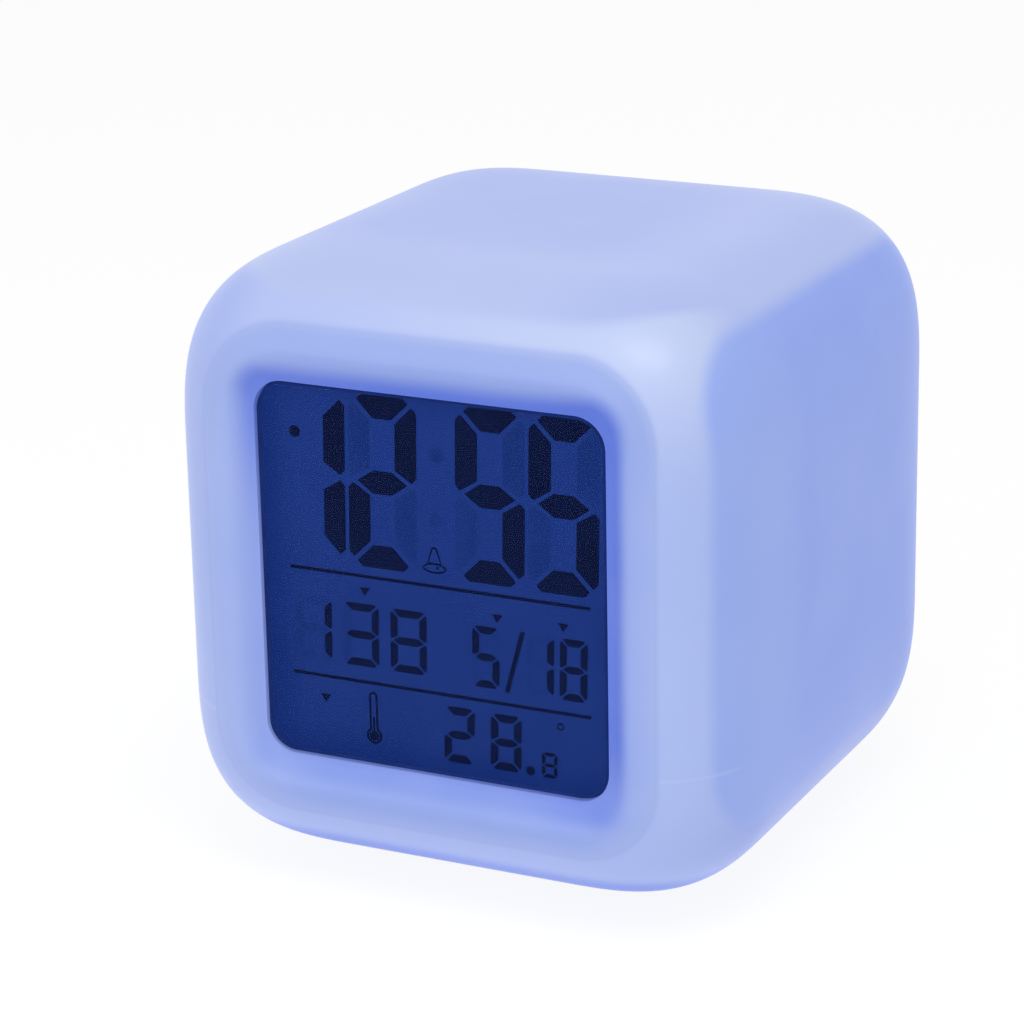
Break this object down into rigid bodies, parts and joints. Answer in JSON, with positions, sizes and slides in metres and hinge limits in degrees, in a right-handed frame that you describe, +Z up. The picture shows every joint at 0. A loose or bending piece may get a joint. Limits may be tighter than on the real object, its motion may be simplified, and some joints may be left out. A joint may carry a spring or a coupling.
{
  "type": "digital lcd clock",
  "caption": "Cube-shaped table alarm clock: soft milky shell that glows from inside, recessed LCD window, sprung press-down base, rear buttons and hinged battery door.",
  "frame": {"origin": "on the table under the middle of the clock, at the centre of the bottom of its box", "axes": "+Z up, -Y towards the front with the LCD window, +X to the right seen from the front"},
  "size_m": [0.078, 0.0797, 0.08],
  "materials": {
    "shell_plastic": "milky translucent plastic with a soft satin gloss, lit blue from inside",
    "lens_plastic": "clear polished plastic over the display",
    "display_glass": "back-lit LCD, dark blue with darker digits",
    "inner_plastic": "moulded white plastic",
    "cover_plastic": "fine spark-eroded texture on white plastic",
    "button_plastic": "satin light grey plastic",
    "switch_plastic": "black moulded plastic",
    "rubber": "soft matt rubber",
    "circuit_board": "green lacquered fibreglass board",
    "plated_steel": "nickel-plated steel",
    "lamp_resin": "clear moulded resin",
    "cell_can": "plain dark sleeve on a metal can",
    "lead_insulation": "soft grey insulation"
  },
  "bodies": {
    "base": {"base_plate": "inner_plastic", "foot_1": "rubber", "foot_2": "rubber", "foot_3": "rubber", "foot_4": "rubber", "base_spring_1": "plated_steel", "base_spring_2": "plated_steel", "base_spring_3": "plated_steel", "base_spring_4": "plated_steel", "snooze_plunger": "switch_plastic"},
    "housing": {"shell": "shell_plastic", "window_lens": "lens_plastic", "lcd_glass": "display_glass", "light_sheet": "inner_plastic", "lcd_frame": "inner_plastic", "rubber_connector": "rubber", "main_board": "circuit_board", "controller_chip": "switch_plastic", "board_screw_1": "plated_steel", "board_screw_2": "plated_steel", "board_screw_3": "plated_steel", "board_screw_4": "plated_steel", "chassis": "inner_plastic", "chassis_screw_1": "plated_steel", "chassis_screw_2": "plated_steel", "lamp_board": "circuit_board", "lamp_1": "lamp_resin", "lamp_2": "lamp_resin", "lamp_3": "lamp_resin", "snooze_switch": "switch_plastic", "rear_cover": "cover_plastic", "cover_screw_1": "plated_steel", "cover_screw_2": "plated_steel", "battery_cell_1": "cell_can", "battery_cell_2": "cell_can", "battery_cell_3": "cell_can", "battery_contact_1": "plated_steel", "battery_contact_2": "plated_steel", "battery_contact_3": "plated_steel", "battery_contact_4": "plated_steel", "button_board": "circuit_board", "button_switch_1": "switch_plastic", "button_switch_2": "switch_plastic", "button_switch_3": "switch_plastic", "button_switch_4": "switch_plastic", "light_switch": "switch_plastic", "sounder": "switch_plastic", "ribbon_lead": "lead_insulation", "battery_lead": "lead_insulation"},
    "battery_door": {"battery_door": "cover_plastic"},
    "button_1": {"button_cap_1": "button_plastic", "button_plunger_1": "switch_plastic"},
    "button_2": {"button_cap_2": "button_plastic", "button_plunger_2": "switch_plastic"},
    "button_3": {"button_cap_3": "button_plastic", "button_plunger_3": "switch_plastic"},
    "button_4": {"button_cap_4": "button_plastic", "button_plunger_4": "switch_plastic"},
    "light_switch_knob": {"light_switch_knob": "button_plastic"}
  },
  "joints": [
    {"name": "housing_press", "type": "slide", "parent": "base", "child": "housing", "axis": [0, 0, -1], "range_m": [0, 0.001], "stiffness_N_per_m": 3200, "springref_m": -0.0012, "deforming": ["base_spring_1", "base_spring_2", "base_spring_3", "base_spring_4"]},
    {"name": "battery_door_hinge", "type": "hinge", "parent": "housing", "child": "battery_door", "pos_m": [0, 0.0373, 0.0153], "axis": [-1, 0, 0], "range_deg": [0, 75]},
    {"name": "button_1_press", "type": "slide", "parent": "housing", "child": "button_1", "axis": [0, -1, 0], "range_m": [0, 0.0007], "stiffness_N_per_m": 600, "springref_m": -0.001},
    {"name": "button_2_press", "type": "slide", "parent": "housing", "child": "button_2", "axis": [0, -1, 0], "range_m": [0, 0.0007], "stiffness_N_per_m": 600, "springref_m": -0.001},
    {"name": "button_3_press", "type": "slide", "parent": "housing", "child": "button_3", "axis": [0, -1, 0], "range_m": [0, 0.0007], "stiffness_N_per_m": 600, "springref_m": -0.001},
    {"name": "button_4_press", "type": "slide", "parent": "housing", "child": "button_4", "axis": [0, -1, 0], "range_m": [0, 0.0007], "stiffness_N_per_m": 600, "springref_m": -0.001},
    {"name": "light_switch_slide", "type": "slide", "parent": "housing", "child": "light_switch_knob", "axis": [1, 0, 0], "range_m": [0, 0.002]}
  ]
}
